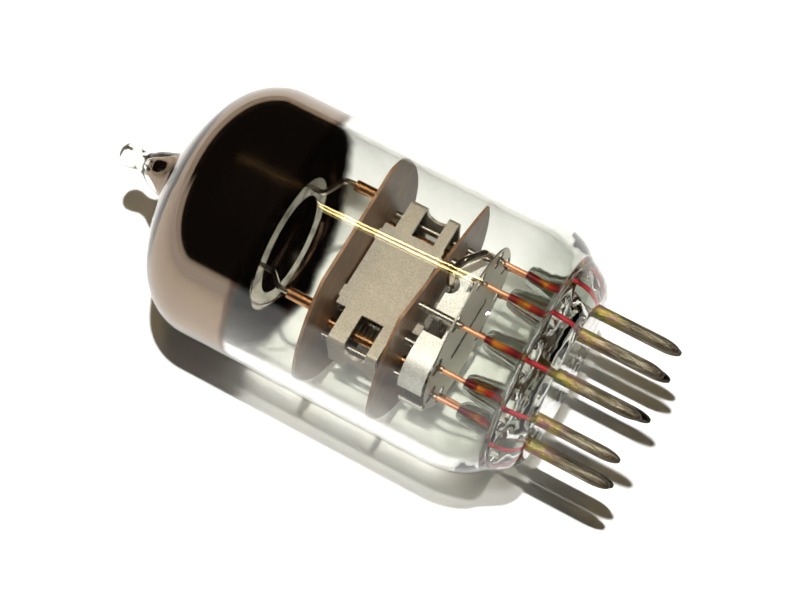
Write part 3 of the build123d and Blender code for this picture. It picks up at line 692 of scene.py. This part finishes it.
# %% Mica
mica, tree, shader, _ = start_material("mica_sheet")
place = add(tree, "ShaderNodeTexCoord").outputs["Object"]
flakes = add(tree, "ShaderNodeTexNoise", {"Vector": place, "Scale": 420.0, "Detail": 6.0, "Distortion": 0.8})
layers = add(tree, "ShaderNodeMapping", {"Vector": place, "Scale": (30000, 300, 300)}).outputs[0]
edges = add(tree, "ShaderNodeTexNoise", {"Vector": layers, "Scale": 1.0, "Detail": 2.0}).outputs["Fac"]
fill(shader, {
    "Base Color": ramp(tree, flakes.outputs["Fac"], [(0.3, tone(84, 60, 42)), (0.5, tone(108, 80, 58)),
                                                     (0.7, tone(130, 101, 78))]),
    "Roughness": maths(tree, "ADD", 0.3, maths(tree, "MULTIPLY", flakes.outputs["Fac"], 0.2)),
    "Specular IOR Level": 0.25,
    "Coat Weight": 0.06,
    "Coat Roughness": 0.12,
    "Normal": add(tree, "ShaderNodeBump", {"Height": edges, "Strength": 0.3, "Distance": 0.00003}).outputs[0],
})
dress(mica, "top_mica", "bottom_mica")

# %% Oxide, heater and getter residue
def powder_material(name, light, dark, scale, rough):
    """Matte powdery coating with a fine bump."""
    made, tree, shader, _ = start_material(name)
    place = add(tree, "ShaderNodeTexCoord").outputs["Object"]
    grains = add(tree, "ShaderNodeTexNoise", {"Vector": place, "Scale": scale, "Detail": 6.0}).outputs["Fac"]
    fill(shader, {
        "Base Color": ramp(tree, grains, [(0.35, dark), (0.65, light)]),
        "Roughness": maths(tree, "ADD", rough - 0.1, maths(tree, "MULTIPLY", grains, 0.2)),
        "Normal": add(tree, "ShaderNodeBump", {"Height": grains, "Strength": 0.6,
                                               "Distance": 0.00003}).outputs[0],
    })
    return made


dress(powder_material("oxide", tone(238, 236, 230), tone(206, 204, 196), 9000.0, 0.9), "cathode_coating")
dress(powder_material("alumina", tone(236, 236, 234), tone(200, 200, 198), 12000.0, 0.9), "heater")
dress(powder_material("getter_residue", tone(110, 100, 92), tone(36, 32, 30), 6000.0, 0.85), "getter_charge")

# %% [markdown]
# ## Fine wire work
# The grid is one fine wire wound round both side rods. A curve with a round bevel gives it real turns. The
# same helper makes the hairpin that hangs from the getter's lower support.

# %% Helper for wires
def wire_piece(name, points, radius, material, order=4):
    """A smooth round wire through the route given in millimetres."""
    line = bpy.data.curves.new(name, "CURVE")
    line.dimensions = "3D"
    line.bevel_depth = radius * MM
    line.bevel_resolution = 2
    line.use_fill_caps = True
    run = line.splines.new("NURBS")
    run.points.add(len(points) - 1)
    for point, at in zip(run.points, points):
        point.co = (*(c * MM for c in at), 1.0)
    run.order_u = order
    run.use_endpoint_u = True
    run.resolution_u = 4
    drawn = bpy.data.objects.new(name + "_line", line)
    mesh = bpy.data.meshes.new_from_object(drawn)
    bpy.data.objects.remove(drawn)
    bm = bmesh.new()
    bm.from_mesh(mesh)
    bpy.data.meshes.remove(mesh)
    bmesh.ops.remove_doubles(bm, verts=bm.verts, dist=1e-7)
    return finish_piece(bm, name, material)


# %% Grid helix
GRID_TURNS, GRID_WIRE_R = 15, 0.035
rod_y = middle("grid_rod_right").y
wrap_r = (high("grid_rod_right").y - low("grid_rod_right").y) / 2 + GRID_WIRE_R
grid_low, grid_high = low("grid_winding").x, high("grid_winding").x
wrap = [(side * (rod_y + wrap_r * cos(radians(a))), side * wrap_r * sin(radians(a)))
        for side in (1, -1) for a in (-90, -45, 0, 45, 90)]
helix = []
for turn in range(GRID_TURNS):
    for step, (y, z) in enumerate(wrap):
        share = (turn + step / len(wrap)) / GRID_TURNS
        helix.append((grid_low + share * (grid_high - grid_low), y, z))
grid_helix = wire_piece("grid_helix", helix, GRID_WIRE_R, gold_wire, order=3)
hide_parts("grid_winding")

# %% Hairpin under the getter
hairpin = [(-23.6, -6.0, 4.4), (-23.4, -6.8, 4.3), (-22.9, -7.5, 4.1), (-22.1, -7.4, 4.0), (-21.4, -6.7, 4.2),
           (-21.1, -6.0, 4.4)]
wire_piece("getter_hairpin", hairpin, 0.09, bright_nickel)

# %% [markdown]
# ## Welds
# Every lead is spot welded to its seal wire. The two wires are pressed into each other, and a small
# flattened nugget stands round the joint.

# %% Weld nuggets
nuggets = bmesh.new()
WELD_R = 0.3
for n in range(1, PIN_COUNT + 1):
    lead_x = low(f"seal_wire_{n}").x
    y, z = middle(f"seal_wire_{n}").yz
    made = bmesh.ops.create_icosphere(nuggets, subdivisions=3, radius=WELD_R * MM)
    turn = Matrix.Rotation(radians(40 * n), 4, "X")
    flat = Matrix.Diagonal((1.25, 0.72, 0.95, 1.0))
    place = Matrix.Translation((lead_x * MM, y * MM, z * MM))
    bmesh.ops.transform(nuggets, matrix=place @ turn @ flat, verts=made["verts"])
weld_metal = wire_material("weld_metal", tone(226, 196, 168), tone(120, 92, 76), 0.25)
finish_piece(nuggets, "weld_nuggets", weld_metal)
